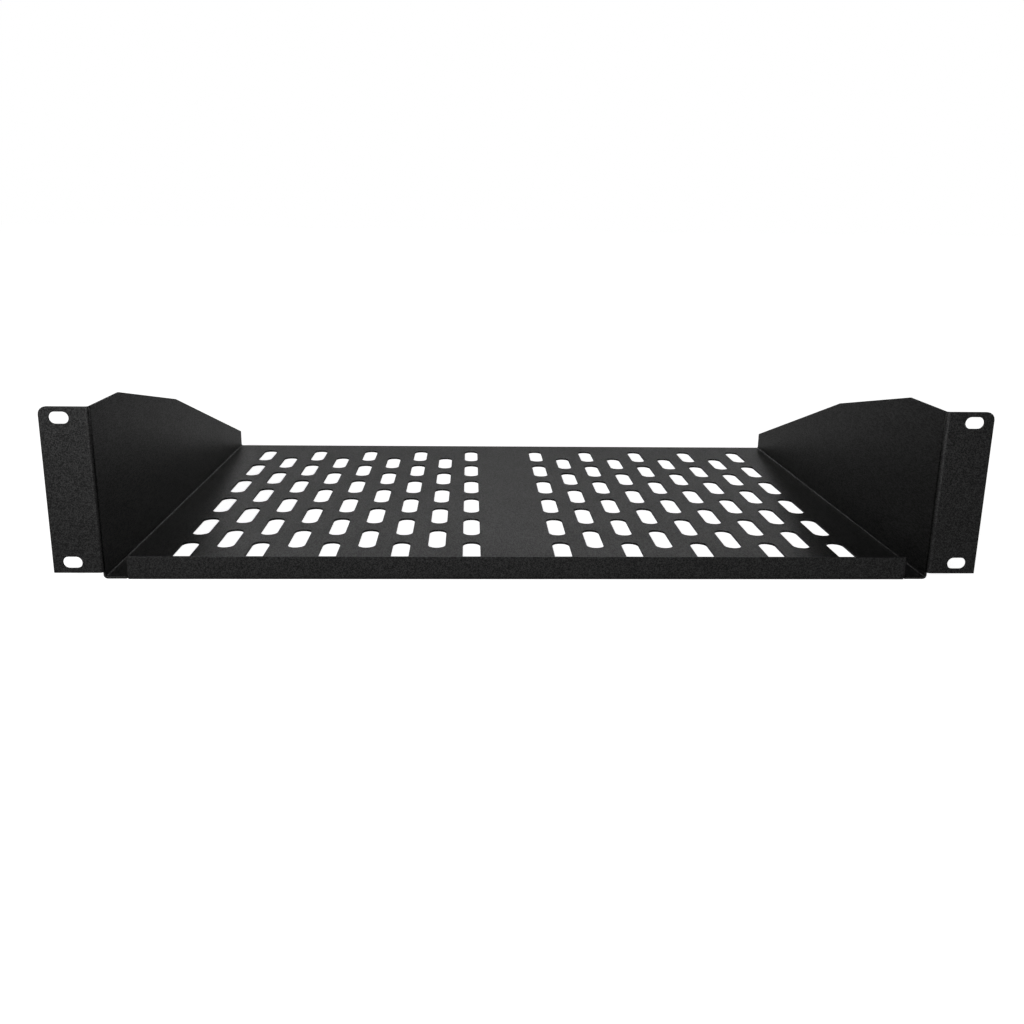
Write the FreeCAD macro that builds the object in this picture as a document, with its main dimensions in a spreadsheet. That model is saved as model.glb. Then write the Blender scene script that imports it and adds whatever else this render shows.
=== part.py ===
"""Vented two-unit rack shelf, folded from one steel sheet.

The floor lies flat with its underside on Z = 0. The rack ears face the front, at -Y, and the floor runs
back to +Y. The origin is the centre of the outer box, on the underside of the floor. The right half is
modelled and then mirrored in the YZ plane, because the left half is its mirror image.
"""
import FreeCAD, Part
import math
import os

import Sketcher

SHELF = "vented_shelf"
Vector = FreeCAD.Vector

# Driving dimensions in millimetres, counts where the name says so.
DRIVING_DIMENSIONS = [
    ("sheet_thickness", 1.2, "Thickness of the steel sheet"),
    ("bend_radius", 1, "Inner radius of every fold"),
    ("shelf_depth", 318, "Ear face to the back edge of the floor"),
    ("hole_span", 465.1, "Left to right spacing of the ear slots"),
    ("hole_row_spacing", 76.2, "Bottom to top spacing of the two slots in one ear"),
    ("slot_to_wall", 15.55, "Ear slot centre to the inner face of the side wall"),
    ("slot_to_edge", 10, "Ear slot centre to the outer edge of the ear"),
    ("slot_to_end", 5.7, "Ear slot centre to the top or bottom edge of the ear"),
    ("ear_slot_length", 10, "Ear slot, along the ear's width"),
    ("ear_slot_width", 6.2, "Ear slot, along the ear's height"),
    ("ear_lift", 1.8, "Gap under the ear, above the fold of the floor"),
    ("ear_corner_radius", 4, "Top outer corner of the ear"),
    ("level_run", 44, "Ear face to the end of the level top edge of the wall"),
    ("knee_run", 145, "Ear face to the knee in the top edge of the wall"),
    ("knee_drop", 21.4, "Fall of the top edge from the level stretch to the knee"),
    ("tail_height", 13, "Height of the wall at the back edge"),
    ("lip_height", 13, "Height of the front lip"),
    ("lip_gap", 12, "End of the lip to the inner face of the side wall"),
    ("relief_width", 1.2, "Width of the notch beside the lip"),
    ("relief_depth", 0.8, "Depth of that notch into the floor"),
    ("vent_length", 34, "Vent slot, front to back"),
    ("vent_width", 10, "Vent slot, left to right"),
    ("band_half_width", 21, "Centre line to the first vent slot"),
    ("side_margin", 24, "Last vent slot to the inner face of the side wall"),
    ("front_margin", 27, "Ear face to the first row of vent slots"),
    ("back_margin", 19.5, "Last row of vent slots to the back edge"),
    ("full_column_count", 5, "Columns with a slot in every row, on each side"),
    ("full_row_count", 6, "Rows of vent slots in such a column"),
]

# Expressions that several features share.
INNER_HALF = "(Sizes.hole_span / 2 - Sizes.slot_to_wall)"
EAR_EDGE = "(Sizes.hole_span / 2 + Sizes.slot_to_edge)"
OUTER_RADIUS = "(Sizes.sheet_thickness + Sizes.bend_radius)"
EAR_BOTTOM = f"({OUTER_RADIUS} + Sizes.ear_lift)"
WALL_TOP = f"({EAR_BOTTOM} + Sizes.hole_row_spacing + 2 * Sizes.slot_to_end)"
LIP_HALF = f"({INNER_HALF} - Sizes.lip_gap)"
HALF_DEPTH = "(Sizes.shelf_depth / 2)"
COLUMN_SPAN = f"({INNER_HALF} - Sizes.band_half_width - Sizes.side_margin - Sizes.vent_width)"
ROW_SPAN = "(Sizes.shelf_depth - Sizes.front_margin - Sizes.back_margin - Sizes.vent_length)"
COLUMN_STEP = f"({COLUMN_SPAN} / (Sizes.full_column_count - 1))"
ROW_STEP = f"({ROW_SPAN} / (Sizes.full_row_count - 1))"
FIRST_COLUMN = "(Sizes.band_half_width + Sizes.vent_width / 2)"
FIRST_ROW = f"({HALF_DEPTH} - Sizes.front_margin - Sizes.vent_length / 2)"

# How far a cutting outline reaches past the sheet.
OVERCUT = 5

# Which end of a sketch element a constraint takes, and the sketch's own origin.
START, END, CENTRE = range(1, 4)
ORIGIN = (-1, START)


def make_size_sheet(doc):
    """Put the driving dimensions in a spreadsheet, one named cell each."""
    sheet = doc.addObject("Spreadsheet::Sheet", "Sizes")
    for row, (name, value, meaning) in enumerate(DRIVING_DIMENSIONS, start=1):
        sheet.set(f"A{row}", meaning)
        sheet.set(f"B{row}", str(value))
        sheet.setAlias(f"B{row}", name)
    doc.recompute()
    return sheet


def origin_item(body, role):
    """Return one of the body's own origin planes or axes."""
    for item in body.Origin.OriginFeatures:
        if item.Role == role:
            return item
    raise ValueError(f"no origin item {role}")


def evaluate(sketch, expression):
    """Work out an expression of the sheet, for the first draft of a sketch."""
    return float(sketch.evalExpression(expression))


class Outline:
    """A sketch under construction, whose dimensions are bound to the size sheet."""

    def __init__(self, body, name, plane, height=None):
        self.sketch = body.newObject("Sketcher::SketchObject", name)
        self.sketch.AttachmentSupport = (origin_item(body, plane), [""])
        self.sketch.MapMode = "FlatFace"
        if height:
            self.sketch.setExpression("AttachmentOffset.Base.z", height)

    def value(self, expression):
        return evaluate(self.sketch, expression)

    def line(self, start, end):
        return self.sketch.addGeometry(Part.LineSegment(Vector(*start), Vector(*end)), False)

    def arc(self, centre, radius, first_degree, last_degree):
        circle = Part.Circle(Vector(*centre), Vector(0, 0, 1), radius)
        arc = Part.ArcOfCircle(circle, math.radians(first_degree), math.radians(last_degree))
        return self.sketch.addGeometry(arc, False)

    def constrain(self, kind, *arguments):
        return self.sketch.addConstraint(Sketcher.Constraint(kind, *arguments))

    def dimension(self, kind, name, expression, *elements):
        """Add a dimension and bind it to the sheet."""
        index = self.constrain(kind, *elements, self.value(expression))
        self.sketch.renameConstraint(index, name)
        self.sketch.setExpression(f"Constraints.{name}", expression)

    def finish(self):
        if self.sketch.solve() != 0 or not self.sketch.FullyConstrained:
            raise RuntimeError(f"sketch {self.sketch.Name} has no one solution")
        return self.sketch


def closed_polygon(outline, points):
    """Draw straight sides through the points and join them, and return the sides."""
    sides = []
    for index, point in enumerate(points):
        sides.append(outline.line(point, points[(index + 1) % len(points)]))
    for index, side in enumerate(sides):
        outline.constrain("Coincident", side, END, sides[(index + 1) % len(sides)], START)
    return sides


def obround(outline, centre, length, width, along_x):
    """Draw a slot with round ends, placed by the expressions for its centre."""
    mid_x = outline.value(centre[0])
    mid_y = outline.value(centre[1])
    radius = outline.value(width) / 2
    reach = (outline.value(length) - outline.value(width)) / 2
    step = (reach, 0) if along_x else (0, reach)
    side = (0, radius) if along_x else (radius, 0)
    turn = 0 if along_x else 90
    far = (mid_x + step[0], mid_y + step[1])
    near = (mid_x - step[0], mid_y - step[1])
    far_arc = outline.arc(far, radius, turn - 90, turn + 90)
    near_arc = outline.arc(near, radius, turn + 90, turn + 270)
    first = outline.line((far[0] - side[0], far[1] + side[1]), (near[0] - side[0], near[1] + side[1]))
    second = outline.line((near[0] + side[0], near[1] - side[1]), (far[0] + side[0], far[1] - side[1]))
    outline.constrain("Tangent", far_arc, END, first, START)
    outline.constrain("Tangent", first, END, near_arc, START)
    outline.constrain("Tangent", near_arc, END, second, START)
    outline.constrain("Tangent", second, END, far_arc, START)
    outline.constrain("Equal", far_arc, near_arc)
    outline.constrain("Horizontal" if along_x else "Vertical", first)
    outline.dimension("Radius", "end_radius", f"{width} / 2", far_arc)
    distance = "DistanceX" if along_x else "DistanceY"
    outline.dimension(distance, "centre_distance", f"{length} - {width}", near_arc, CENTRE, far_arc, CENTRE)
    return near_arc, far_arc


def floor_and_wall_sketch(body):
    """Half section across the shelf: floor, fold and side wall."""
    outline = Outline(body, "floor_and_wall_section", "XZ_Plane", f"-{HALF_DEPTH}")
    wall = outline.value(INNER_HALF)
    top = outline.value(WALL_TOP)
    inner = outline.value("Sizes.bend_radius")
    outer = outline.value(OUTER_RADIUS)
    sheet = outer - inner
    centre = (wall - inner, outer)
    underside = outline.line((0, 0), (centre[0], 0))
    outer_arc = outline.arc(centre, outer, 270, 360)
    outer_face = outline.line((wall + sheet, outer), (wall + sheet, top))
    top_edge = outline.line((wall + sheet, top), (wall, top))
    inner_face = outline.line((wall, top), (wall, outer))
    inner_arc = outline.arc(centre, inner, 270, 360)
    upper_side = outline.line((centre[0], sheet), (0, sheet))
    middle = outline.line((0, sheet), (0, 0))
    outline.constrain("Coincident", underside, START, *ORIGIN)
    outline.constrain("Tangent", underside, END, outer_arc, START)
    outline.constrain("Tangent", outer_arc, END, outer_face, START)
    outline.constrain("Coincident", outer_face, END, top_edge, START)
    outline.constrain("Coincident", top_edge, END, inner_face, START)
    outline.constrain("Tangent", inner_face, END, inner_arc, END)
    outline.constrain("Tangent", inner_arc, START, upper_side, START)
    outline.constrain("Coincident", upper_side, END, middle, START)
    outline.constrain("Coincident", middle, END, underside, START)
    outline.constrain("Coincident", inner_arc, CENTRE, outer_arc, CENTRE)
    for level in (underside, top_edge, upper_side):
        outline.constrain("Horizontal", level)
    for upright in (outer_face, inner_face, middle):
        outline.constrain("Vertical", upright)
    outline.dimension("DistanceY", "thickness", "Sizes.sheet_thickness", middle, END, middle, START)
    outline.dimension("Radius", "fold", "Sizes.bend_radius", inner_arc)
    outline.dimension("DistanceX", "inner_half", INNER_HALF, *ORIGIN, inner_face, START)
    outline.dimension("DistanceY", "wall_top", WALL_TOP, *ORIGIN, inner_face, START)
    return outline.finish()


def wall_top_sketch(body):
    """What is trimmed off the side wall, above its sloping top edge."""
    outline = Outline(body, "wall_top_trim", "YZ_Plane")
    front = -outline.value(HALF_DEPTH)
    back = -front
    top = outline.value(WALL_TOP)
    level_end = front + outline.value("Sizes.level_run")
    knee = (front + outline.value("Sizes.knee_run"), top - outline.value("Sizes.knee_drop"))
    tail = outline.value("Sizes.tail_height")
    points = [(level_end, top), knee, (back, tail), (back + OVERCUT, tail),
              (back + OVERCUT, top + OVERCUT), (level_end, top + OVERCUT)]
    first, second, behind, rear, above, start = closed_polygon(outline, points)
    for level in (behind, above):
        outline.constrain("Horizontal", level)
    for upright in (rear, start):
        outline.constrain("Vertical", upright)
    outline.dimension("DistanceX", "level_end", f"{HALF_DEPTH} - Sizes.level_run", first, START, *ORIGIN)
    outline.dimension("DistanceY", "wall_top", WALL_TOP, *ORIGIN, first, START)
    outline.dimension("DistanceX", "knee_run", "Sizes.knee_run - Sizes.level_run", first, START, first, END)
    outline.dimension("DistanceY", "knee_drop", "Sizes.knee_drop", first, END, first, START)
    outline.dimension("DistanceX", "back_edge", HALF_DEPTH, *ORIGIN, second, END)
    outline.dimension("DistanceY", "tail", "Sizes.tail_height", *ORIGIN, second, END)
    outline.constrain("DistanceX", behind, START, behind, END, OVERCUT)
    outline.constrain("DistanceY", start, END, start, START, OVERCUT)
    return outline.finish()


def ear_sketch(body):
    """Section of the ear from above: the fold out of the wall's front edge, and the flat."""
    outline = Outline(body, "ear_section", "XY_Plane", EAR_BOTTOM)
    face = -outline.value(HALF_DEPTH)
    wall = outline.value(INNER_HALF)
    edge = outline.value(EAR_EDGE)
    inner = outline.value("Sizes.bend_radius")
    outer = outline.value(OUTER_RADIUS)
    sheet = outer - inner
    centre = (wall + outer, face + outer)
    outer_arc = outline.arc(centre, outer, 180, 270)
    front_face = outline.line((centre[0], face), (edge, face))
    outer_edge = outline.line((edge, face), (edge, face + sheet))
    back_face = outline.line((edge, face + sheet), (centre[0], face + sheet))
    inner_arc = outline.arc(centre, inner, 180, 270)
    root = outline.line((wall + sheet, centre[1]), (wall, centre[1]))
    outline.constrain("Tangent", outer_arc, END, front_face, START)
    outline.constrain("Coincident", front_face, END, outer_edge, START)
    outline.constrain("Coincident", outer_edge, END, back_face, START)
    outline.constrain("Tangent", back_face, END, inner_arc, END)
    outline.constrain("Coincident", inner_arc, START, root, START)
    outline.constrain("Coincident", root, END, outer_arc, START)
    outline.constrain("Coincident", inner_arc, CENTRE, outer_arc, CENTRE)
    outline.constrain("Horizontal", root, START, inner_arc, CENTRE)
    outline.constrain("Vertical", outer_edge)
    for level in (front_face, back_face, root):
        outline.constrain("Horizontal", level)
    outline.dimension("DistanceY", "ear_face", HALF_DEPTH, front_face, START, *ORIGIN)
    outline.dimension("DistanceY", "thickness", "Sizes.sheet_thickness", outer_edge, START, outer_edge, END)
    outline.dimension("Radius", "fold", "Sizes.bend_radius", inner_arc)
    outline.dimension("DistanceX", "inner_half", INNER_HALF, *ORIGIN, root, END)
    outline.dimension("DistanceX", "ear_edge", EAR_EDGE, *ORIGIN, outer_edge, START)
    return outline.finish()


def lip_sketch(body):
    """Section of the front lip from the side: the fold out of the floor's front edge, and the flat."""
    outline = Outline(body, "lip_section", "YZ_Plane")
    face = -outline.value(HALF_DEPTH)
    top = outline.value("Sizes.lip_height")
    inner = outline.value("Sizes.bend_radius")
    outer = outline.value(OUTER_RADIUS)
    sheet = outer - inner
    centre = (face + outer, outer)
    outer_arc = outline.arc(centre, outer, 180, 270)
    root = outline.line((centre[0], 0), (centre[0], sheet))
    inner_arc = outline.arc(centre, inner, 180, 270)
    inner_face = outline.line((face + sheet, outer), (face + sheet, top))
    top_edge = outline.line((face + sheet, top), (face, top))
    front_face = outline.line((face, top), (face, outer))
    outline.constrain("Coincident", outer_arc, END, root, START)
    outline.constrain("Coincident", root, END, inner_arc, END)
    outline.constrain("Tangent", inner_arc, START, inner_face, START)
    outline.constrain("Coincident", inner_face, END, top_edge, START)
    outline.constrain("Coincident", top_edge, END, front_face, START)
    outline.constrain("Tangent", front_face, END, outer_arc, START)
    outline.constrain("Coincident", inner_arc, CENTRE, outer_arc, CENTRE)
    outline.constrain("Vertical", root, START, outer_arc, CENTRE)
    outline.constrain("Horizontal", top_edge)
    for upright in (root, inner_face, front_face):
        outline.constrain("Vertical", upright)
    outline.constrain("PointOnObject", outer_arc, END, -1)
    outline.dimension("DistanceX", "lip_face", HALF_DEPTH, front_face, START, *ORIGIN)
    outline.dimension("DistanceX", "thickness", "Sizes.sheet_thickness", top_edge, END, top_edge, START)
    outline.dimension("Radius", "fold", "Sizes.bend_radius", inner_arc)
    outline.dimension("DistanceY", "lip_top", "Sizes.lip_height", *ORIGIN, top_edge, START)
    return outline.finish()


def relief_sketch(body):
    """The notch in the floor's front edge that lets the lip fold, just past the lip's end."""
    outline = Outline(body, "lip_relief", "XY_Plane")
    left = outline.value(LIP_HALF)
    right = left + outline.value("Sizes.relief_width")
    front = -outline.value(HALF_DEPTH)
    back = front + outline.value(OUTER_RADIUS) + outline.value("Sizes.relief_depth")
    points = [(left, front), (right, front), (right, back), (left, back)]
    near, outer_side, far, inner_side = closed_polygon(outline, points)
    for level in (near, far):
        outline.constrain("Horizontal", level)
    for upright in (outer_side, inner_side):
        outline.constrain("Vertical", upright)
    outline.dimension("DistanceX", "lip_end", LIP_HALF, *ORIGIN, near, START)
    outline.dimension("DistanceX", "width", "Sizes.relief_width", near, START, near, END)
    outline.dimension("DistanceY", "ear_face", HALF_DEPTH, near, START, *ORIGIN)
    outline.dimension("DistanceY", "reach", f"{OUTER_RADIUS} + Sizes.relief_depth", near, START, far, END)
    return outline.finish()


def ear_slot_sketch(body):
    """The lower mounting slot of the ear."""
    outline = Outline(body, "ear_slot", "XZ_Plane")
    centre = ("Sizes.hole_span / 2", f"{EAR_BOTTOM} + Sizes.slot_to_end")
    near, far = obround(outline, centre, "Sizes.ear_slot_length", "Sizes.ear_slot_width", True)
    reach = "(Sizes.ear_slot_length - Sizes.ear_slot_width) / 2"
    outline.dimension("DistanceX", "slot_x", f"{centre[0]} - {reach}", *ORIGIN, near, CENTRE)
    outline.dimension("DistanceY", "slot_z", centre[1], *ORIGIN, near, CENTRE)
    return outline.finish()


def vent_sketch(body, name, column_offset, row_offset):
    """The front inner slot of one set of vent columns."""
    outline = Outline(body, name, "XY_Plane")
    centre = (f"{FIRST_COLUMN} + {column_offset}", f"-{FIRST_ROW} + {row_offset}")
    near, far = obround(outline, centre, "Sizes.vent_length", "Sizes.vent_width", False)
    reach = "(Sizes.vent_length - Sizes.vent_width) / 2"
    outline.dimension("DistanceX", "column_x", centre[0], *ORIGIN, near, CENTRE)
    outline.dimension("DistanceY", "row_y", f"{FIRST_ROW} - {row_offset} + {reach}", near, CENTRE, *ORIGIN)
    return outline.finish()


def pad(body, name, sketch, length):
    """Add material in front of a sketch, along its normal."""
    feature = body.newObject("PartDesign::Pad", name)
    feature.Profile = sketch
    feature.setExpression("Length", length)
    sketch.Visibility = False
    return feature


def cut_through(body, name, sketch):
    """Cut a sketch through everything, on both sides of its plane."""
    feature = body.newObject("PartDesign::Pocket", name)
    feature.Profile = sketch
    feature.Type = "ThroughAll"
    feature.SideType = "Symmetric"
    sketch.Visibility = False
    return feature


def repeat(body, name, feature, along, extent, count):
    """Repeat a cut in one straight row."""
    pattern = body.newObject("PartDesign::LinearPattern", name)
    pattern.Originals = [feature]
    pattern.Direction = (origin_item(body, along), [""])
    pattern.setExpression("Length", extent)
    pattern.setExpression("Occurrences", count)
    body.Tip = pattern
    return pattern


def repeat_in_grid(body, name, feature, columns, rows):
    """Repeat a vent slot in columns and rows, each given as the extent and the count."""
    pattern = repeat(body, name, feature, "X_Axis", *columns)
    extent, count = rows
    pattern.Direction2 = (origin_item(body, "Y_Axis"), [""])
    pattern.setExpression("Length2", extent)
    pattern.setExpression("Occurrences2", count)
    return pattern


def recompute_and_compare(doc, body, before, grows):
    """Recompute, and make sure that the last feature added or removed material."""
    doc.recompute()
    after = body.Shape.Volume
    changed = after > before if grows else after < before
    if not changed:
        raise RuntimeError(f"{body.Tip.Name} left the volume at {after:.1f} mm3")
    return after


def round_ear_corner(doc, body):
    """Round the ear's top outer corner, at the edge that runs through the sheet there."""
    corner_x = evaluate(body, EAR_EDGE)
    corner_z = evaluate(body, WALL_TOP)
    base = body.Tip
    for index, edge in enumerate(base.Shape.Edges, start=1):
        ends = [vertex.Point for vertex in edge.Vertexes]
        if all(math.hypot(end.x - corner_x, end.z - corner_z) < 0.001 for end in ends):
            feature = body.newObject("PartDesign::Fillet", "ear_corner")
            feature.Base = (base, [f"Edge{index}"])
            feature.setExpression("Radius", "Sizes.ear_corner_radius")
            return feature
    raise RuntimeError("the ear has no top outer corner")


def make_shelf(doc):
    """Build the right half of the shelf, then mirror it."""
    body = doc.addObject("PartDesign::Body", SHELF)
    body.Label = SHELF
    volume = 0.0

    pad(body, "floor_and_wall", floor_and_wall_sketch(body), f"Sizes.shelf_depth - {OUTER_RADIUS}")
    volume = recompute_and_compare(doc, body, volume, True)
    cut_through(body, "wall_top", wall_top_sketch(body))
    volume = recompute_and_compare(doc, body, volume, False)
    pad(body, "ear", ear_sketch(body), f"{WALL_TOP} - {EAR_BOTTOM}")
    volume = recompute_and_compare(doc, body, volume, True)
    pad(body, "front_lip", lip_sketch(body), LIP_HALF)
    volume = recompute_and_compare(doc, body, volume, True)
    cut_through(body, "relief_notch", relief_sketch(body))
    volume = recompute_and_compare(doc, body, volume, False)
    round_ear_corner(doc, body)
    volume = recompute_and_compare(doc, body, volume, False)

    ear_slot = cut_through(body, "lower_ear_slot", ear_slot_sketch(body))
    volume = recompute_and_compare(doc, body, volume, False)
    repeat(body, "ear_slots", ear_slot, "Z_Axis", "Sizes.hole_row_spacing", "2")
    volume = recompute_and_compare(doc, body, volume, False)

    full_vent = cut_through(body, "full_column_vent", vent_sketch(body, "full_column_slot", "0", "0"))
    volume = recompute_and_compare(doc, body, volume, False)
    repeat_in_grid(body, "full_columns", full_vent,
                   (COLUMN_SPAN, "Sizes.full_column_count"), (ROW_SPAN, "Sizes.full_row_count"))
    volume = recompute_and_compare(doc, body, volume, False)
    half_steps = (f"{COLUMN_STEP} / 2", f"{ROW_STEP} / 2")
    between_vent = cut_through(body, "between_column_vent", vent_sketch(body, "between_slot", *half_steps))
    volume = recompute_and_compare(doc, body, volume, False)
    repeat_in_grid(body, "between_columns", between_vent,
                   (f"{COLUMN_SPAN} - {COLUMN_STEP}", "Sizes.full_column_count - 1"),
                   (f"{ROW_SPAN} - {ROW_STEP}", "Sizes.full_row_count - 1"))
    volume = recompute_and_compare(doc, body, volume, False)

    whole = body.newObject("PartDesign::Mirrored", "whole_shelf")
    whole.TransformMode = "Whole shape"
    whole.MirrorPlane = (origin_item(body, "YZ_Plane"), [""])
    body.Tip = whole
    recompute_and_compare(doc, body, volume, True)
    return body


def check_document(doc, body):
    """Stop before anything is written if a feature failed or the solid is not sound."""
    for item in doc.Objects:
        if "Invalid" in item.State or "Error" in item.State:
            raise RuntimeError(f"{item.Name} failed: {item.State}")
    shape = body.Shape
    if shape.isNull() or not shape.isValid() or len(shape.Solids) != 1:
        raise RuntimeError(f"{body.Label} is not one valid solid")


def main():
    doc = FreeCAD.newDocument(SHELF)
    make_size_sheet(doc)
    shelf = make_shelf(doc)
    check_document(doc, shelf)
    os.makedirs("parts", exist_ok=True)
    shelf.Shape.exportStep(f"parts/{shelf.Label}.step")
    box = shelf.Shape.BoundBox
    print(f"{shelf.Label}: {box.XLength:.2f} x {box.YLength:.2f} x {box.ZLength:.2f} mm,"
          f" {shelf.Shape.Volume:.0f} mm3, {len(shelf.Shape.Faces)} faces")


main()
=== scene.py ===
"""Vented rack shelf: the powder-coated sheet, folded and pierced, on a plain studio floor.

Lengths are in metres, in the frame of the CAD model: X to the right, the ears at the front (-Y), Z up.
The sheet is laid out flat as one blank, cut with rounded edges, and then folded. The vent slots are
pierced into its floor by a Geometry Nodes tree.
"""
import math

import bmesh
import bpy
from bpy.props import FloatProperty, FloatVectorProperty, IntProperty, PointerProperty
from mathutils import Matrix, Vector
from mathutils.geometry import delaunay_2d_cdt


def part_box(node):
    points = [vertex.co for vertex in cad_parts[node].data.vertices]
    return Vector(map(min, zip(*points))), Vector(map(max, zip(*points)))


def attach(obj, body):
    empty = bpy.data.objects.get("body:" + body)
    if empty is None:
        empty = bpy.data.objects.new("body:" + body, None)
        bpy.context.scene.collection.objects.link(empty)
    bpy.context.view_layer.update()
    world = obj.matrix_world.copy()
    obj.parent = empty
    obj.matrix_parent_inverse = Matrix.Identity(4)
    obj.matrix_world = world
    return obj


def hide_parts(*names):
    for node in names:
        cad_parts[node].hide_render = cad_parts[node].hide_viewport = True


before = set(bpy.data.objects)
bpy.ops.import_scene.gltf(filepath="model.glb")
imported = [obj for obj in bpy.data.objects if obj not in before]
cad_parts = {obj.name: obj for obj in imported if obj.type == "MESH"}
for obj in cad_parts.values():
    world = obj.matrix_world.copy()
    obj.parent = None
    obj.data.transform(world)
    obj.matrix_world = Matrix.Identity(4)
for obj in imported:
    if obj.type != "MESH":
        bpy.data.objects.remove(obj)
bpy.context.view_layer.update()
SHELF_NODE = "vented_shelf"
SHELF_LOW, SHELF_HIGH = [Vector(corner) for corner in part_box(SHELF_NODE)]

# Facets round each half of an ear slot, and the most that a rounded corner turns from facet to facet.
EAR_SLOT_STEPS = 14
CORNER_TURN = math.radians(20)
# Places on the blank closer than this are one place, and a side that strays less is square to the axes.
SAME_PLACE = 1e-7
STRAIGHT = 1e-9
# A fold line isn't marked on a cut edge this near to a corner, which marks it already.
CORNER_REACH = 1e-6
# Points of the sheet closer than this are one point, and so are those of the pierced floor.
SHEET_MERGE = 2e-6
FLOOR_MERGE = 5e-6
# How much more a large face counts than a small one where shading normals are averaged, up to 100.
LARGE_FACE_WEIGHT = 80
# Just under half of a slot's width, so that the two roundings at its end don't meet.
END_SHARE = 0.49999
# Each lamp's name, place, target, width and height in metres, and power in watts.
LAMPS = (
    ("Key Softbox", (-1.0, -1.36, 0.9), (0, -0.1, 0.03), (0.8, 0.8), 14),
    ("Front Strip", (0, -1.6, 0.3), (0, -0.15, 0.05), (1.4, 0.5), 7.5),
    ("Back Strip", (0, 3.0, 1.1), (0, 3.001, 0), (3.0, 0.8), 13),
    ("Top Softbox", (0, 0, 2.2), (0, 0.001, 0), (1.6, 1.2), 3.2),
    ("Left Strip", (-1.6, 0.1, 0.08), (0, 0.1, 0.06), (0.5, 0.12), 6),
    ("Right Strip", (1.6, 0.1, 0.08), (0, 0.1, 0.06), (0.5, 0.12), 6),
)

bl_info = {
    "name": "Vented Rack Shelf",
    "version": (1, 0, 0),
    "blender": (4, 5, 0),
    "location": "View3D > Sidebar > Rack Shelf",
    "description": "Folds and pierces a powder-coated rack shelf and lights it in a plain studio",
    "category": "Object",
}


def linear_colour(hex_code):
    """Turn an sRGB hex value into linear red, green and blue."""
    channels = [int(hex_code[start:start + 2], 16) / 255 for start in (1, 3, 5)]
    return tuple(c / 12.92 if c <= 0.04045 else ((c + 0.055) / 1.055) ** 2.4 for c in channels)


def length(default, name, description):
    """A length of the model, shown in the scene's own unit."""
    return FloatProperty(name=name, description=description, default=default, min=0.0,
                         unit="LENGTH", subtype="DISTANCE", precision=5)


def share(default, name, description):
    """A share between none and all."""
    return FloatProperty(name=name, description=description, default=default, min=0.0, max=1.0,
                         subtype="FACTOR")


def number_of(default, name, description):
    """A number of like things, at least two."""
    return IntProperty(name=name, description=description, default=default, min=2)


def finish_colour(hex_code, name, description):
    """A colour of a finish, given as an sRGB hex value."""
    return FloatVectorProperty(name=name, description=description, default=linear_colour(hex_code),
                               subtype="COLOR", size=3, min=0.0, max=1.0)


def add_node(tree, kind, inputs=None, **settings):
    """Add a node, set its options, and give its inputs a value or the socket that feeds them."""
    node = tree.nodes.new(kind)
    node.location = (180 * (len(tree.nodes) % 12), -220 * (len(tree.nodes) // 12))
    for name, value in settings.items():
        setattr(node, name, value)
    for key, value in (inputs or {}).items():
        socket = node.inputs[key]
        sources = value if isinstance(value, list) else [value]
        for source in sources:
            if isinstance(source, bpy.types.NodeSocket):
                tree.links.new(source, socket)
            else:
                socket.default_value = source
    return node


class SheetSizes(bpy.types.PropertyGroup):
    """The folded sheet, measured on the finished shelf."""
    thickness: length(0.0012, "Thickness", "Steel sheet with its coat")
    fold_radius: length(0.001, "Fold Radius", "Inner radius of every fold")
    edge_round: length(0.00018, "Edge Rounding", "Rounding that the coat leaves along every cut edge")
    corner_round: length(0.0004, "Corner Rounding", "Rounding of the sheet's square corners, seen face on")
    half_width: length(SHELF_HIGH.x, "Half Width", "Centre line to the outer edge of an ear")
    inner_half: length(0.217, "Inner Half Width", "Centre line to the inner face of a side wall")
    ear_face: FloatProperty(name="Ear Face", description="Where the front of the ears and lip lies along Y",
                            default=SHELF_LOW.y, unit="LENGTH", subtype="DISTANCE")
    back_edge: length(SHELF_HIGH.y, "Back Edge", "Where the floor ends along Y")
    wall_top: length(SHELF_HIGH.z, "Wall Top", "Height of the level stretch of the wall and of the ears")
    ear_bottom: length(0.004, "Ear Bottom", "Height of the lower edge of the ears")
    ear_corner: length(0.004, "Ear Corner", "Radius of the top outer corner of an ear")
    level_run: length(0.044, "Level Run", "Ear face to the end of the wall's level top edge")
    knee_run: length(0.145, "Knee Run", "Ear face to the knee in the wall's top edge")
    knee_height: length(0.0702, "Knee Height", "Height of the wall at its knee")
    tail_height: length(0.013, "Tail Height", "Height of the wall at the back edge")
    lip_half: length(0.205, "Lip Half Length", "Centre line to the end of the front lip")
    lip_height: length(0.013, "Lip Height", "Height of the front lip")
    notch_width: length(0.0012, "Notch Width", "Notch in the floor beside the lip's end")
    notch_depth: length(0.0008, "Notch Depth", "Reach of that notch past the fold of the lip")
    slot_x: length(0.23255, "Ear Slot Place", "Centre line to the centre of an ear slot")
    slot_drop: length(0.0057, "Ear Slot Drop", "Ear slot centre to the nearer end of the ear")
    slot_length: length(0.010, "Ear Slot Length", "Along the ear's width")
    slot_width: length(0.0062, "Ear Slot Width", "Along the ear's height")
    panel_half_width: length(0.204, "Panel Half Width", "Half the width of floor that the tree pierces")
    panel_margin: length(0.009, "Panel Margin", "Unpierced floor kept before the panel, front and back")
    fold_steps: number_of(9, "Fold Steps", "Facets round each fold")


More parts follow.
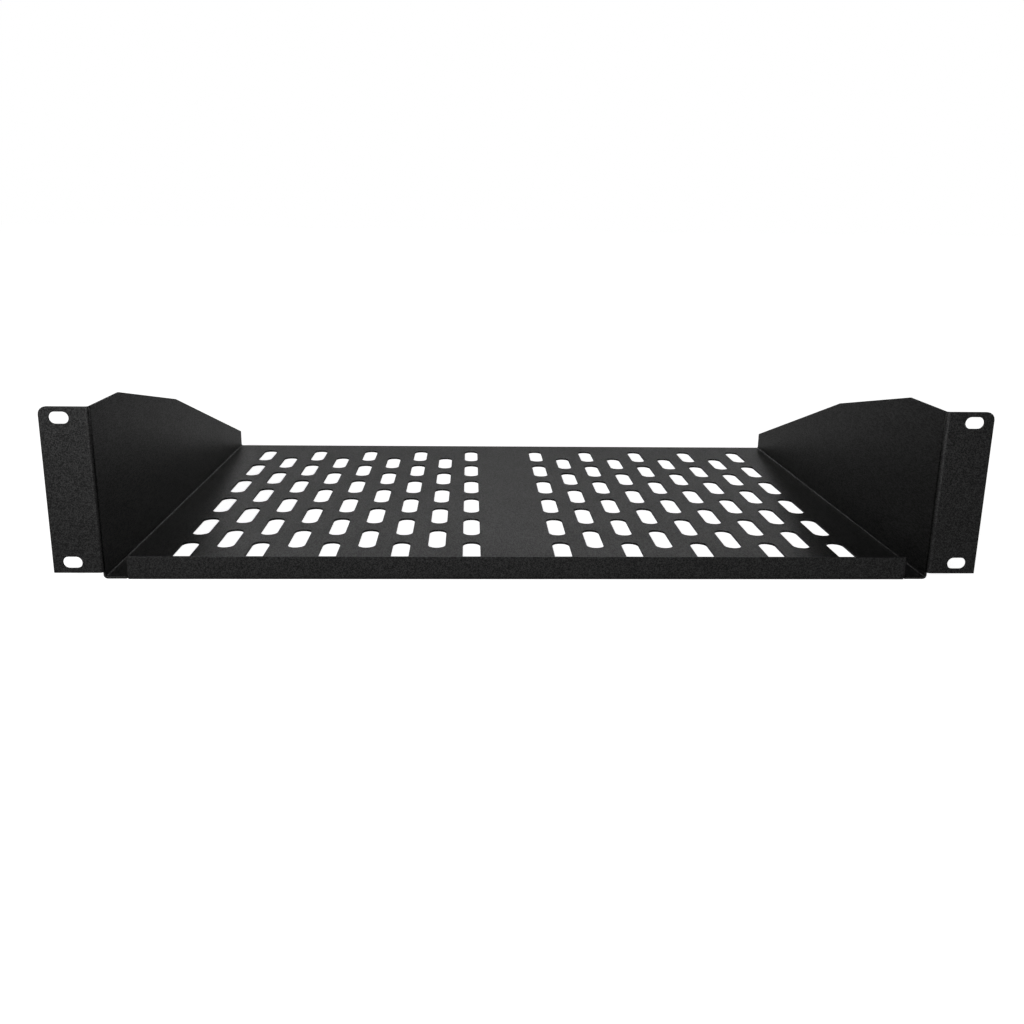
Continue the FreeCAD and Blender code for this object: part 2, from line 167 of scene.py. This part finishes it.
class VentSizes(bpy.types.PropertyGroup):
    """The two interleaved sets of slots on each side of the plain band."""
    slot_length: length(0.034, "Slot Length", "Front to back")
    slot_width: length(0.010, "Slot Width", "Left to right")
    column_spacing: length(0.0405, "Column Spacing", "Between columns of one set")
    row_spacing: length(0.0475, "Row Spacing", "Between rows of one set")
    first_column: length(0.026, "First Column", "Centre line to the first column of slots")
    first_row: length(0.044, "First Row", "Ear face to the centre of the first row")
    columns: number_of(5, "Columns", "Full columns on each side")
    rows: number_of(6, "Rows", "Slots in a full column")
    end_steps: number_of(6, "End Steps", "Facets round half of a slot's end")


class CoatFinish(bpy.types.PropertyGroup):
    """Black fine-texture powder coat."""
    colour: finish_colour("#020202", "Coat", "Colour of the coat between its grains")
    grain_colour: finish_colour("#101010", "Grain", "Colour of the raised grains")
    grain: length(0.0005, "Grain Size", "Width of one grain of the texture")
    grain_run: FloatProperty(name="Grain Run", description="How much longer a grain is front to back",
                             default=4.0, min=1.0)
    gleam: share(0.5, "Gleam", "How much the shine differs from grain to grain")
    relief: length(0.0001, "Relief", "Height of the grain")
    roughness: share(0.32, "Roughness", "Roughness of the coat on average")
    unevenness: share(0.04, "Unevenness", "How far the roughness strays from its average")
    patch: length(1 / 30, "Patch Size", "Width of a patch that is a little smoother or rougher")


class StudioSettings(bpy.types.PropertyGroup):
    """Camera, lamps and floor."""
    camera_place: FloatVectorProperty(name="Camera", description="Where the camera stands", subtype="XYZ",
                                      unit="LENGTH", default=(-0.027723, -0.647481, 0.181986))
    camera_turn: FloatVectorProperty(name="Camera Turn", description="How the camera is turned",
                                     default=[math.radians(a) for a in (75.9021, -0.6979, -1.8090)],
                                     subtype="EULER")
    lens: FloatProperty(name="Lens", description="Focal length in millimetres on a 36 mm sensor",
                        default=34.5472, min=1.0)
    shift: FloatVectorProperty(name="Shift", description="Lens shift, as shares of the picture", size=2,
                               default=(0.009808, -0.039546))
    floor_colour: finish_colour("#E0E0E0", "Floor", "Colour of the floor")
    floor_half: length(30.0, "Floor Half Width", "Centre line to the edge of the floor")
    floor_lift: share(0.9, "Floor Lift", "What the camera alone sees added to the floor round the shelf")
    shadow_reach: length(0.7, "Shadow Reach", "How far from the middle the floor still shows a shadow")
    room_level: share(0.01, "Room", "Strength of the even light of the room")


GROUPS = {
    "shelf_sheet": SheetSizes,
    "shelf_vents": VentSizes,
    "shelf_coat": CoatFinish,
    "shelf_studio": StudioSettings,
}


class Fold:
    """Where a place on the flat blank comes to lie once the sheet is folded.

    On the blank u runs left to right and v front to back, as on the floor, and w is the height above the
    underside. A fold takes up the length of its middle layer.
    """

    def __init__(self, sheet):
        self.inner = sheet.fold_radius
        self.outer = sheet.fold_radius + sheet.thickness
        self.middle = sheet.fold_radius + sheet.thickness / 2
        self.run = self.middle * math.pi / 2
        self.side = sheet.inner_half - self.inner
        self.front = sheet.ear_face + self.outer
        self.ear_centre = sheet.inner_half + self.outer
        self.steps = [self.run * step / sheet.fold_steps for step in range(sheet.fold_steps + 1)]

    def wall_u(self, height):
        """The blank's u for a height on the side wall."""
        return self.side + self.run + height - self.outer

    def lip_v(self, height):
        """The blank's v for a height on the lip."""
        return self.front - self.run - (height - self.outer)

    def ear_v(self, x):
        """The blank's v for a distance from the centre line on the ear."""
        return self.front - self.run - (x - self.ear_centre)

    def place(self, u, v, w):
        """The point of the folded sheet for a point of the blank."""
        mirrored = -1 if u < 0 else 1
        side_angle, side_rest = self.turned(abs(u) - self.side)
        front_angle, front_rest = self.turned(self.front - v)
        if side_angle == 0:
            if front_angle == 0:
                return Vector((u, v, w))
            radius = self.outer - w
            y = self.front - radius * math.sin(front_angle)
            z = self.outer - radius * math.cos(front_angle) + front_rest
            return Vector((u, y, z))
        radius = self.outer - w
        x = self.side + radius * math.sin(side_angle)
        z = self.outer - radius * math.cos(side_angle) + side_rest
        if front_angle:
            radius = self.inner + w
            x = self.ear_centre - radius * math.cos(front_angle) + front_rest
            return Vector((mirrored * x, self.front - radius * math.sin(front_angle), z))
        return Vector((mirrored * x, v, z))

    def turned(self, run):
        """How far a fold has turned after that length, and what is left beyond it."""
        if run <= 0:
            return 0.0, 0.0
        return min(run, self.run) / self.middle, max(0.0, run - self.run)


class CutEdge:
    """A closed cut line on the blank, walked with the sheet on its left."""

    def __init__(self):
        self.points = []
        self.insets = []

    def add(self, point, inset):
        """Add a place on the line and the vector that steps one unit into the sheet from there."""
        if self.points and (point - self.points[-1]).length < SAME_PLACE:
            return
        self.points.append(point)
        self.insets.append(inset)

    def moved_in(self, distance):
        """The line moved into the sheet by that distance."""
        return [point + inset * distance for point, inset in zip(self.points, self.insets)]


def left_of(direction):
    """The unit vector to the left of a direction."""
    return Vector((-direction.y, direction.x)).normalized()


def cut_edge(corners, u_lines, v_lines):
    """Walk a polygon of rounded corners, and add a place wherever a fold line crosses it."""
    edge = CutEdge()
    for index, (corner, rounding) in enumerate(corners):
        before = (corner - corners[index - 1][0]).normalized()
        after_corner = corners[(index + 1) % len(corners)][0]
        after = (after_corner - corner).normalized()
        turn = math.atan2(before.cross(after), before.dot(after))
        reach = rounding * math.tan(abs(turn) / 2) if turn > 0 else 0.0
        if reach > 0:
            centre = corner - before * reach + left_of(before) * rounding
            steps = max(2, round(turn / CORNER_TURN))
            for step in range(steps + 1):
                angle = turn * step / steps
                inward = left_of(before)
                inward.rotate(Matrix.Rotation(angle, 2))
                edge.add(centre - inward * rounding, inward)
        else:
            both = left_of(before) + left_of(after)
            edge.add(corner.copy(), both / (1 + before.dot(after)))
        add_crossings(edge, corner, after_corner, reach, u_lines, v_lines)
    return edge


def add_crossings(edge, start, end, skip, u_lines, v_lines):
    """Add the places where fold lines cross a side square on."""
    along = end - start
    if abs(along.x) > STRAIGHT and abs(along.y) > STRAIGHT:
        return
    axis = 0 if abs(along.y) < STRAIGHT else 1
    lines = u_lines if axis == 0 else v_lines
    low, high = sorted((start[axis], end[axis]))
    found = [line for line in lines if low + skip + CORNER_REACH < line < high - CORNER_REACH]
    for line in sorted(found, reverse=end[axis] < start[axis]):
        point = start.copy()
        point[axis] = line
        edge.add(point, left_of(along))


def obround(centre, long_way, reach, radius, steps):
    """A round-ended hole as a cut edge, walked with the sheet on its left."""
    edge = CutEdge()
    across = Vector((-long_way.y, long_way.x))
    for end in (1, -1):
        for step in range(steps + 1):
            angle = math.pi * step / steps
            outward = across * (end * math.cos(angle)) + long_way * (end * math.sin(angle))
            edge.add(centre + long_way * (end * reach) + outward * radius, outward)
    return edge


def outline_corners(sheet, fold):
    """The blank's corners, once round with the sheet on the left, each with its rounding."""
    small = sheet.corner_round
    notch_v = fold.front + sheet.notch_depth
    notch_end = sheet.lip_half + sheet.notch_width
    ear_v = fold.ear_v(sheet.half_width)
    ear_u = fold.wall_u(sheet.ear_bottom)
    top_u = fold.wall_u(sheet.wall_top)
    right = [
        (sheet.lip_half, fold.lip_v(sheet.lip_height), small),
        (sheet.lip_half, notch_v, 0),
        (notch_end, notch_v, 0),
        (notch_end, fold.front, small),
        (ear_u, fold.front, 0),
        (ear_u, ear_v, small),
        (top_u, ear_v, sheet.ear_corner),
        (top_u, sheet.ear_face + sheet.level_run, 0),
        (fold.wall_u(sheet.knee_height), sheet.ear_face + sheet.knee_run, 0),
        (fold.wall_u(sheet.tail_height), sheet.back_edge, small),
    ]
    left = [(-u, v, rounding) for u, v, rounding in reversed(right)]
    return [(Vector((u, v)), rounding) for u, v, rounding in right + left]


def panel_corners(sheet, fold):
    """The corners of the stretch of floor that the node tree pierces."""
    half = sheet.panel_half_width
    low = fold.front + sheet.panel_margin
    high = sheet.back_edge - sheet.panel_margin
    return [Vector(corner) for corner in ((-half, low), (half, low), (half, high), (-half, high))]


def rim_profile(sheet, steps=3):
    """Steps from the top face over the rounded edge to the underside: distance in, height."""
    small = sheet.edge_round
    upper = []
    for step in range(steps + 1):
        angle = math.pi / 2 * (1 - step / steps)
        upper.append((small * (1 - math.cos(angle)), sheet.thickness - small + small * math.sin(angle)))
    lower = [(distance, sheet.thickness - height) for distance, height in reversed(upper)]
    return upper + lower


def inside(point, loops):
    """True if a point of the blank lies on the sheet."""
    crossings = 0
    for loop in loops:
        for index, end in enumerate(loop):
            start = loop[index - 1]
            if (start.y > point.y) != (end.y > point.y):
                at = start.x + (point.y - start.y) / (end.y - start.y) * (end.x - start.x)
                crossings += point.x < at
    return crossings % 2 == 1


def fold_lines(sheet, fold):
    """The lines along which the plates are divided, as pairs of ends on the blank."""
    small = sheet.edge_round
    front = fold.front + small
    back = sheet.back_edge - small
    ear_low = fold.wall_u(sheet.ear_bottom) + small
    ear_high = fold.wall_u(sheet.wall_top) - small
    lip_end = sheet.lip_half - small
    lines = []
    for step in fold.steps:
        v = fold.front - step
        lines.append([(-lip_end, v), (lip_end, v)])
        for side in (-1, 1):
            u = side * (fold.side + step)
            lines.append([(u, front), (u, back)])
            if step:
                lines.append([(side * ear_low, v), (side * ear_high, v)])
    for side in (-1, 1):
        lines.append([(side * ear_low, front), (side * (ear_low + sheet.thickness), fold.front)])
        lines.append([(side * (ear_low + sheet.thickness), fold.front), (side * ear_high, fold.front)])
    return lines


def divide_plate(loops, lines):
    """Triangles of the blank between its cut edges, split along the fold lines."""
    points = []
    edges = []
    for loop in loops:
        start = len(points)
        points.extend(loop)
        edges.extend((start + i, start + (i + 1) % len(loop)) for i in range(len(loop)))
    for ends in lines:
        edges.append((len(points), len(points) + 1))
        points.extend(Vector(end) for end in ends)
    verts, _, faces, _, _, _ = delaunay_2d_cdt(points, edges, [], 0, SAME_PLACE)
    kept = []
    for face in faces:
        middle = sum((verts[i] for i in face), Vector((0, 0))) / len(face)
        if inside(middle, loops):
            kept.append(face)
    return verts, kept


def folded_mesh(sheet):
    """The folded sheet with rounded edges and an opening where its floor is pierced."""
    fold = Fold(sheet)
    u_lines = [side * (fold.side + step) for side in (-1, 1) for step in fold.steps]
    v_lines = [fold.front - step for step in fold.steps]
    edges = [cut_edge(outline_corners(sheet, fold), u_lines, v_lines)]
    for side in (-1, 1):
        for height in (sheet.ear_bottom + sheet.slot_drop, sheet.wall_top - sheet.slot_drop):
            centre = Vector((side * fold.wall_u(height), fold.ear_v(sheet.slot_x)))
            reach = (sheet.slot_length - sheet.slot_width) / 2
            edges.append(obround(centre, Vector((0, 1)), reach, sheet.slot_width / 2, EAR_SLOT_STEPS))

    mesh = bmesh.new()
    profile = rim_profile(sheet)
    for edge in edges:
        rings = []
        for distance, height in profile:
            rings.append([mesh.verts.new(fold.place(*p, height)) for p in edge.moved_in(distance)])
        for upper, lower in zip(rings, rings[1:]):
            for index in range(len(upper)):
                after = (index + 1) % len(upper)
                mesh.faces.new((lower[index], lower[after], upper[after], upper[index]))

    loops = [edge.moved_in(sheet.edge_round) for edge in edges] + [panel_corners(sheet, fold)]
    places, faces = divide_plate(loops, fold_lines(sheet, fold))
    for height, order in ((sheet.thickness, 1), (0.0, -1)):
        plate = [mesh.verts.new(fold.place(*p, height)) for p in places]
        for face in faces:
            mesh.faces.new([plate[i] for i in face[::order]])
    bmesh.ops.remove_doubles(mesh, verts=mesh.verts, dist=SHEET_MERGE)
    loose = [vert for vert in mesh.verts if not vert.link_faces]
    bmesh.ops.delete(mesh, geom=loose, context="VERTS")
    return mesh


def slot_grid(tree, columns, rows, spacing, middle):
    """One set of slot places on both sides of the plain band, as points of two grids."""
    counts = add_node(tree, "ShaderNodeCombineXYZ", {"X": columns, "Y": rows})
    gaps = add_node(tree, "ShaderNodeVectorMath", {0: counts.outputs[0], 1: (1, 1, 0)}, operation="SUBTRACT")
    size = add_node(tree, "ShaderNodeVectorMath", {0: gaps.outputs[0], 1: spacing}, operation="MULTIPLY")
    size = add_node(tree, "ShaderNodeSeparateXYZ", {"Vector": size.outputs[0]}).outputs
    grid = add_node(tree, "GeometryNodeMeshGrid", {
        "Size X": size["X"], "Size Y": size["Y"], "Vertices X": columns, "Vertices Y": rows,
    })
    sides = []
    for side in (-1, 1):
        offset = add_node(tree, "ShaderNodeVectorMath", {0: middle, 1: (side, 1, 1)}, operation="MULTIPLY")
        moved = add_node(tree, "GeometryNodeTransform", {
            "Geometry": grid.outputs["Mesh"], "Translation": offset.outputs[0],
        })
        sides.append(moved.outputs["Geometry"])
    return sides


def slot_rim(tree, given):
    """The wall of one slot through the sheet, with both of its edges rounded."""
    cut = add_node(tree, "GeometryNodeCurvePrimitiveQuadrilateral",
                   {"Width": given["Slot Width"], "Height": given["Slot Length"]})
    end_radius = add_node(tree, "ShaderNodeMath", {0: given["Slot Width"], 1: END_SHARE},
                          operation="MULTIPLY")
    cut = add_node(tree, "GeometryNodeFilletCurve", {
        "Curve": cut.outputs["Curve"], "Radius": end_radius.outputs[0], "Count": given["End Steps"],
    }, mode="POLY")

    # The section runs along the top face, down through the sheet and back along the underside.
    down = add_node(tree, "ShaderNodeMath", {0: 0.0, 1: given["Thickness"]}, operation="SUBTRACT").outputs[0]
    turns = [{"X": given["Edge Rounding"]}, {}, {"Y": down}, {"X": given["Edge Rounding"], "Y": down}]
    index = add_node(tree, "GeometryNodeInputIndex").outputs[0]
    place = add_node(tree, "GeometryNodeIndexSwitch", {"Index": index}, data_type="VECTOR")
    for number, turn in enumerate(turns):
        if number >= len(place.index_switch_items):
            place.index_switch_items.new()
        corner = add_node(tree, "ShaderNodeCombineXYZ", turn).outputs[0]
        tree.links.new(corner, place.inputs[str(number)])
    line = add_node(tree, "GeometryNodeCurvePrimitiveLine")
    line = add_node(tree, "GeometryNodeResampleCurve",
                    {"Curve": line.outputs["Curve"], "Count": len(turns)})
    section = add_node(tree, "GeometryNodeSetPosition",
                       {"Geometry": line.outputs["Curve"], "Position": place.outputs[0]})
    section = add_node(tree, "GeometryNodeFilletCurve", {
        "Curve": section.outputs["Geometry"], "Radius": given["Edge Rounding"], "Limit Radius": True,
        "Count": 2,
    }, mode="POLY")
    rim = add_node(tree, "GeometryNodeCurveToMesh",
                   {"Curve": cut.outputs["Curve"], "Profile Curve": section.outputs["Curve"]})
    return add_node(tree, "GeometryNodeFlipFaces", {"Mesh": rim.outputs["Mesh"]}).outputs["Mesh"]


def pierced_floor_tree(material):
    """A tree that fills the opening in the floor with a plate pierced by interleaved rows of slots."""
    tree = bpy.data.node_groups.new("Pierced Floor", "GeometryNodeTree")
    tree.interface.new_socket("Geometry", in_out="INPUT", socket_type="NodeSocketGeometry")
    for name in ("Slot Spacing", "Middle"):
        tree.interface.new_socket(name, in_out="INPUT", socket_type="NodeSocketVector")
    for name in ("Slot Length", "Slot Width", "Thickness", "Edge Rounding"):
        tree.interface.new_socket(name, in_out="INPUT", socket_type="NodeSocketFloat")
    for name in ("Columns", "Rows", "End Steps"):
        tree.interface.new_socket(name, in_out="INPUT", socket_type="NodeSocketInt")
    tree.interface.new_socket("Geometry", in_out="OUTPUT", socket_type="NodeSocketGeometry")
    given = add_node(tree, "NodeGroupInput").outputs

    # The rim stands at every slot of the full columns and of the shorter columns between them.
    fewer = [add_node(tree, "ShaderNodeMath", {0: given[name], 1: 1.0}, operation="SUBTRACT").outputs[0]
             for name in ("Columns", "Rows")]
    grids = slot_grid(tree, given["Columns"], given["Rows"], given["Slot Spacing"], given["Middle"])
    grids += slot_grid(tree, *fewer, given["Slot Spacing"], given["Middle"])
    places = add_node(tree, "GeometryNodeJoinGeometry", {"Geometry": grids})
    rims = add_node(tree, "GeometryNodeInstanceOnPoints",
                    {"Points": places.outputs["Geometry"], "Instance": slot_rim(tree, given)})
    rims = add_node(tree, "GeometryNodeRealizeInstances", {"Geometry": rims.outputs["Instances"]})

    # Every open edge on the top or on the underside bounds one plate.
    open_parts = add_node(tree, "GeometryNodeJoinGeometry",
                          {"Geometry": [given["Geometry"], rims.outputs["Geometry"]]})
    neighbours = add_node(tree, "GeometryNodeInputMeshEdgeNeighbors").outputs["Face Count"]
    is_open = add_node(tree, "FunctionNodeCompare", {2: neighbours, 3: 1}, data_type="INT",
                       operation="EQUAL")
    position = add_node(tree, "GeometryNodeInputPosition").outputs[0]
    height = add_node(tree, "ShaderNodeSeparateXYZ", {"Vector": position}).outputs["Z"]
    half = add_node(tree, "ShaderNodeMath", {0: given["Thickness"], 1: 2.0}, operation="DIVIDE").outputs[0]
    whole = [given["Geometry"], rims.outputs["Geometry"]]
    for operation, level, flip in (("GREATER_THAN", given["Thickness"], False), ("LESS_THAN", 0.0, True)):
        on_side = add_node(tree, "ShaderNodeMath", {0: height, 1: half}, operation=operation)
        chosen = add_node(tree, "FunctionNodeBooleanMath",
                          {0: is_open.outputs["Result"], 1: on_side.outputs[0]}, operation="AND")
        bounds = add_node(tree, "GeometryNodeMeshToCurve",
                          {"Mesh": open_parts.outputs["Geometry"], "Selection": chosen.outputs[0]})
        plate = add_node(tree, "GeometryNodeFillCurve", {"Curve": bounds.outputs["Curve"]},
                         mode="TRIANGLES")
        lift = add_node(tree, "ShaderNodeCombineXYZ", {"Z": level})
        plate = add_node(tree, "GeometryNodeTransform",
                         {"Geometry": plate.outputs["Mesh"], "Translation": lift.outputs[0]})
        plate = plate.outputs["Geometry"]
        if flip:
            plate = add_node(tree, "GeometryNodeFlipFaces", {"Mesh": plate}).outputs["Mesh"]
        whole.append(plate)

    joined = add_node(tree, "GeometryNodeJoinGeometry", {"Geometry": whole})
    merged = add_node(tree, "GeometryNodeMergeByDistance",
                      {"Geometry": joined.outputs["Geometry"], "Distance": FLOOR_MERGE})
    realized = add_node(tree, "GeometryNodeRealizeInstances", {"Geometry": merged.outputs["Geometry"]})
    coated = add_node(tree, "GeometryNodeSetMaterial",
                      {"Geometry": realized.outputs["Geometry"], "Material": material})
    add_node(tree, "NodeGroupOutput", {"Geometry": coated.outputs["Geometry"]})
    return tree


def pierce_floor(sheet, vents, blank_object, material):
    """Run the tree on the folded sheet and keep the result as a plain mesh."""
    tree = pierced_floor_tree(material)
    middle_x = vents.first_column + vents.column_spacing * (vents.columns - 1) / 2
    middle_y = sheet.ear_face + vents.first_row + vents.row_spacing * (vents.rows - 1) / 2
    values = {
        "Slot Length": vents.slot_length,
        "Slot Width": vents.slot_width,
        "Slot Spacing": (vents.column_spacing, vents.row_spacing, 0.0),
        "Middle": (middle_x, middle_y, 0.0),
        "Thickness": sheet.thickness,
        "Edge Rounding": sheet.edge_round,
        "Columns": vents.columns,
        "Rows": vents.rows,
        "End Steps": vents.end_steps,
    }
    modifier = blank_object.modifiers.new("Pierced Floor", "NODES")
    modifier.node_group = tree
    for item in tree.interface.items_tree:
        if item.item_type == "SOCKET" and item.in_out == "INPUT" and item.name in values:
            modifier[item.identifier] = values[item.name]
    even = blank_object.modifiers.new("Face Weighted", "WEIGHTED_NORMAL")
    even.mode = "FACE_AREA"
    even.weight = LARGE_FACE_WEIGHT
    depsgraph = bpy.context.evaluated_depsgraph_get()
    result = bpy.data.meshes.new_from_object(blank_object.evaluated_get(depsgraph), depsgraph=depsgraph)
    blank_object.modifiers.clear()
    return result


def powder_coat(coat):
    """Black fine-texture powder coat, sprayed dry and baked on steel.

    The grains melt into low round bumps, so the coat scatters light like a dull plastic and only
    brightens where it is seen at a low angle. A real grain is 0.1 to 0.3 mm wide. It is drawn coarser,
    and longer front to back, because the floor and walls are seen at a low angle and it wouldn't show.
    """
    material = bpy.data.materials.new("Black Fine-Texture Powder Coat")
    material.use_nodes = True
    tree = material.node_tree
    shader = tree.nodes["Principled BSDF"]
    place = add_node(tree, "ShaderNodeTexCoord").outputs["Object"]
    # The offset puts the faces of the sheet between the noise's own grid planes, where it is strongest.
    cells = (1 / coat.grain, 1 / (coat.grain * coat.grain_run), 1 / coat.grain)
    drawn = add_node(tree, "ShaderNodeVectorMath", {0: place, 1: cells, 2: (0.5, 0.0, 0.1)},
                     operation="MULTIPLY_ADD").outputs[0]
    grains = add_node(tree, "ShaderNodeTexNoise", {
        "Vector": drawn, "Scale": 1.0, "Detail": 2.0, "Roughness": 0.6,
    }).outputs[0]
    clouds = add_node(tree, "ShaderNodeTexNoise",
                      {"Vector": place, "Scale": 1 / coat.patch, "Detail": 3.0}).outputs[0]
    # The noise keeps mostly between 0.40 and 0.64, and what lies above 0.50 counts as a raised grain.
    raised = add_node(tree, "ShaderNodeMapRange",
                      {"Value": grains, "From Min": 0.50, "From Max": 0.64}).outputs[0]
    gleam = add_node(tree, "ShaderNodeMapRange", {
        "Value": grains, "From Min": 0.40, "From Max": 0.62,
        "To Min": 0.5 - coat.gleam / 2, "To Max": 0.5 + coat.gleam / 2,
    }).outputs[0]
    colour = add_node(tree, "ShaderNodeMix", {0: raised, 6: (*coat.colour, 1), 7: (*coat.grain_colour, 1)},
                      data_type="RGBA").outputs[2]
    rough = add_node(tree, "ShaderNodeMapRange", {
        "Value": clouds, "To Min": coat.roughness - coat.unevenness,
        "To Max": coat.roughness + coat.unevenness,
    }).outputs[0]
    bump = add_node(tree, "ShaderNodeBump",
                    {"Height": grains, "Distance": coat.relief, "Strength": 1.0}).outputs[0]
    tree.links.new(colour, shader.inputs["Base Color"])
    tree.links.new(rough, shader.inputs["Roughness"])
    tree.links.new(gleam, shader.inputs["Specular IOR Level"])
    tree.links.new(bump, shader.inputs["Normal"])
    shader.inputs["IOR"].default_value = 1.5
    return material


class SHELF_OT_coated_sheet(bpy.types.Operator):
    """Fold the shelf's sheet, pierce its floor and coat it"""
    bl_idname = "shelf.coated_sheet"
    bl_label = "Coated Sheet"

    def execute(self, context):
        scene = context.scene
        material = powder_coat(scene.shelf_coat)
        blank = bpy.data.meshes.new("folded_blank")
        folded = folded_mesh(scene.shelf_sheet)
        folded.to_mesh(blank)
        folded.free()
        blank.shade_smooth()
        holder = bpy.data.objects.new("coated_sheet", blank)
        scene.collection.objects.link(holder)
        pierced = pierce_floor(scene.shelf_sheet, scene.shelf_vents, holder, material)
        if len(pierced.polygons) <= len(blank.polygons):
            raise RuntimeError("the floor was not pierced")
        holder.data = pierced
        bpy.data.meshes.remove(blank)
        pierced.name = "coated_sheet"
        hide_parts(SHELF_NODE)
        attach(holder, "root")
        return {"FINISHED"}


def area_lamp(scene, name, place, target, size, power):
    """A soft rectangular lamp that looks at a target."""
    lamp = bpy.data.lights.new(name, "AREA")
    lamp.shape = "RECTANGLE"
    lamp.size, lamp.size_y = size
    lamp.energy = power
    holder = bpy.data.objects.new(name, lamp)
    holder.location = place
    holder.rotation_euler = (Vector(target) - Vector(place)).to_track_quat("-Z", "Y").to_euler()
    scene.collection.objects.link(holder)
    return holder


def floor_material(studio):
    """Matt white paint, rolled on: it has no gloss, and the camera sees it white where no shadow falls."""
    material = bpy.data.materials.new("Matt White Floor")
    material.use_nodes = True
    tree = material.node_tree
    shader = tree.nodes["Principled BSDF"]
    shader.inputs["Base Color"].default_value = (*studio.floor_colour, 1)
    shader.inputs["Roughness"].default_value = 0.9
    shader.inputs["Emission Color"].default_value = (1, 1, 1, 1)
    place = add_node(tree, "ShaderNodeTexCoord").outputs["Object"]
    away = add_node(tree, "ShaderNodeVectorMath", {0: place}, operation="LENGTH").outputs["Value"]
    level = add_node(tree, "ShaderNodeMapRange", {
        "Value": away, "From Min": studio.shadow_reach, "From Max": 2 * studio.shadow_reach,
        "To Min": studio.floor_lift, "To Max": 1.0,
    }).outputs[0]
    path = add_node(tree, "ShaderNodeLightPath").outputs
    lift = add_node(tree, "ShaderNodeMath", {0: path["Is Camera Ray"], 1: level}, operation="MULTIPLY")
    tree.links.new(lift.outputs[0], shader.inputs["Emission Strength"])
    return material


def studio_world(scene, studio):
    """Even room light, which the camera sees as white."""
    world = bpy.data.worlds.new("Plain Room")
    world.use_nodes = True
    scene.world = world
    tree = world.node_tree
    path = add_node(tree, "ShaderNodeLightPath").outputs
    level = add_node(tree, "ShaderNodeMix", {0: path["Is Camera Ray"], 2: studio.room_level, 3: 1.0},
                     data_type="FLOAT").outputs[0]
    background = tree.nodes["Background"]
    background.inputs["Color"].default_value = (1, 1, 1, 1)
    tree.links.new(level, background.inputs["Strength"])


class SHELF_OT_studio(bpy.types.Operator):
    """Set up the floor, the lamps and the camera"""
    bl_idname = "shelf.studio"
    bl_label = "Studio"

    def execute(self, context):
        scene = context.scene
        studio = scene.shelf_studio
        floor = bpy.data.meshes.new("studio_floor")
        half = studio.floor_half
        floor.from_pydata([(-half, -half, 0), (half, -half, 0), (half, half, 0), (-half, half, 0)],
                          [], [(0, 1, 2, 3)])
        floor.materials.append(floor_material(studio))
        holder = bpy.data.objects.new("studio_floor", floor)
        scene.collection.objects.link(holder)
        studio_world(scene, studio)
        for lamp in LAMPS:
            area_lamp(scene, *lamp)

        lens = bpy.data.cameras.new("Photo Camera")
        lens.sensor_width = 36
        lens.lens = studio.lens
        lens.shift_x, lens.shift_y = studio.shift
        lens.clip_start = 0.01
        camera = bpy.data.objects.new("Photo Camera", lens)
        camera.location = studio.camera_place
        camera.rotation_euler = studio.camera_turn
        scene.collection.objects.link(camera)
        scene.camera = camera
        scene.view_settings.view_transform = "Standard"
        return {"FINISHED"}


class SHELF_PT_panel(bpy.types.Panel):
    """Sizes, finish and steps of the rack shelf"""
    bl_label = "Rack Shelf"
    bl_idname = "SHELF_PT_panel"
    bl_space_type = "VIEW_3D"
    bl_region_type = "UI"
    bl_category = "Rack Shelf"

    def draw(self, context):
        layout = self.layout
        for operator in OPERATORS:
            layout.operator(operator.bl_idname)
        for attribute, group in GROUPS.items():
            box = layout.box()
            box.label(text=group.__name__)
            settings = getattr(context.scene, attribute)
            for name in group.__annotations__:
                box.prop(settings, name)


OPERATORS = (SHELF_OT_coated_sheet, SHELF_OT_studio)


def register():
    for cls in (*GROUPS.values(), *OPERATORS, SHELF_PT_panel):
        bpy.utils.register_class(cls)
    for attribute, group in GROUPS.items():
        setattr(bpy.types.Scene, attribute, PointerProperty(type=group))


def unregister():
    for attribute in GROUPS:
        delattr(bpy.types.Scene, attribute)
    for cls in reversed((*GROUPS.values(), *OPERATORS, SHELF_PT_panel)):
        bpy.utils.unregister_class(cls)


def main():
    register()
    bpy.ops.shelf.coated_sheet()
    bpy.ops.shelf.studio()


if __name__ == "__main__":
    main()
